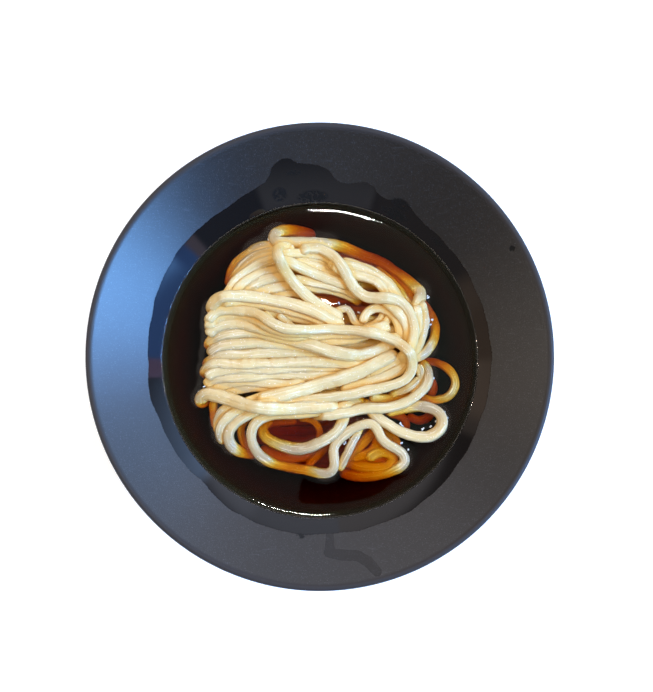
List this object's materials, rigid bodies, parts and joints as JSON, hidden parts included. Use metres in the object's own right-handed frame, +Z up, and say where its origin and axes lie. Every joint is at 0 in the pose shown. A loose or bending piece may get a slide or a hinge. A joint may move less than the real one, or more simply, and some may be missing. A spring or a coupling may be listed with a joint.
{
  "type": "udon noodle bowl",
  "caption": "Shallow conical dark bowl on a foot ring, holding dark soy broth and a folded bundle of thick white noodles with loose loops.",
  "frame": {"origin": "middle of the foot ring's underside, where the bowl stands", "axes": "+Z up along the bowl's turning axis; +X towards the side where the loose loops of noodle lie, +Y towards the single loop at the far edge of the bundle"},
  "size_m": [0.25, 0.25, 0.0733],
  "materials": {
    "bowl_glaze": "satin",
    "broth": "gloss",
    "noodle": "satin"
  },
  "bodies": {
    "root": {"bowl": "bowl_glaze", "broth": "broth", "noodles": "noodle"}
  },
  "joints": []
}
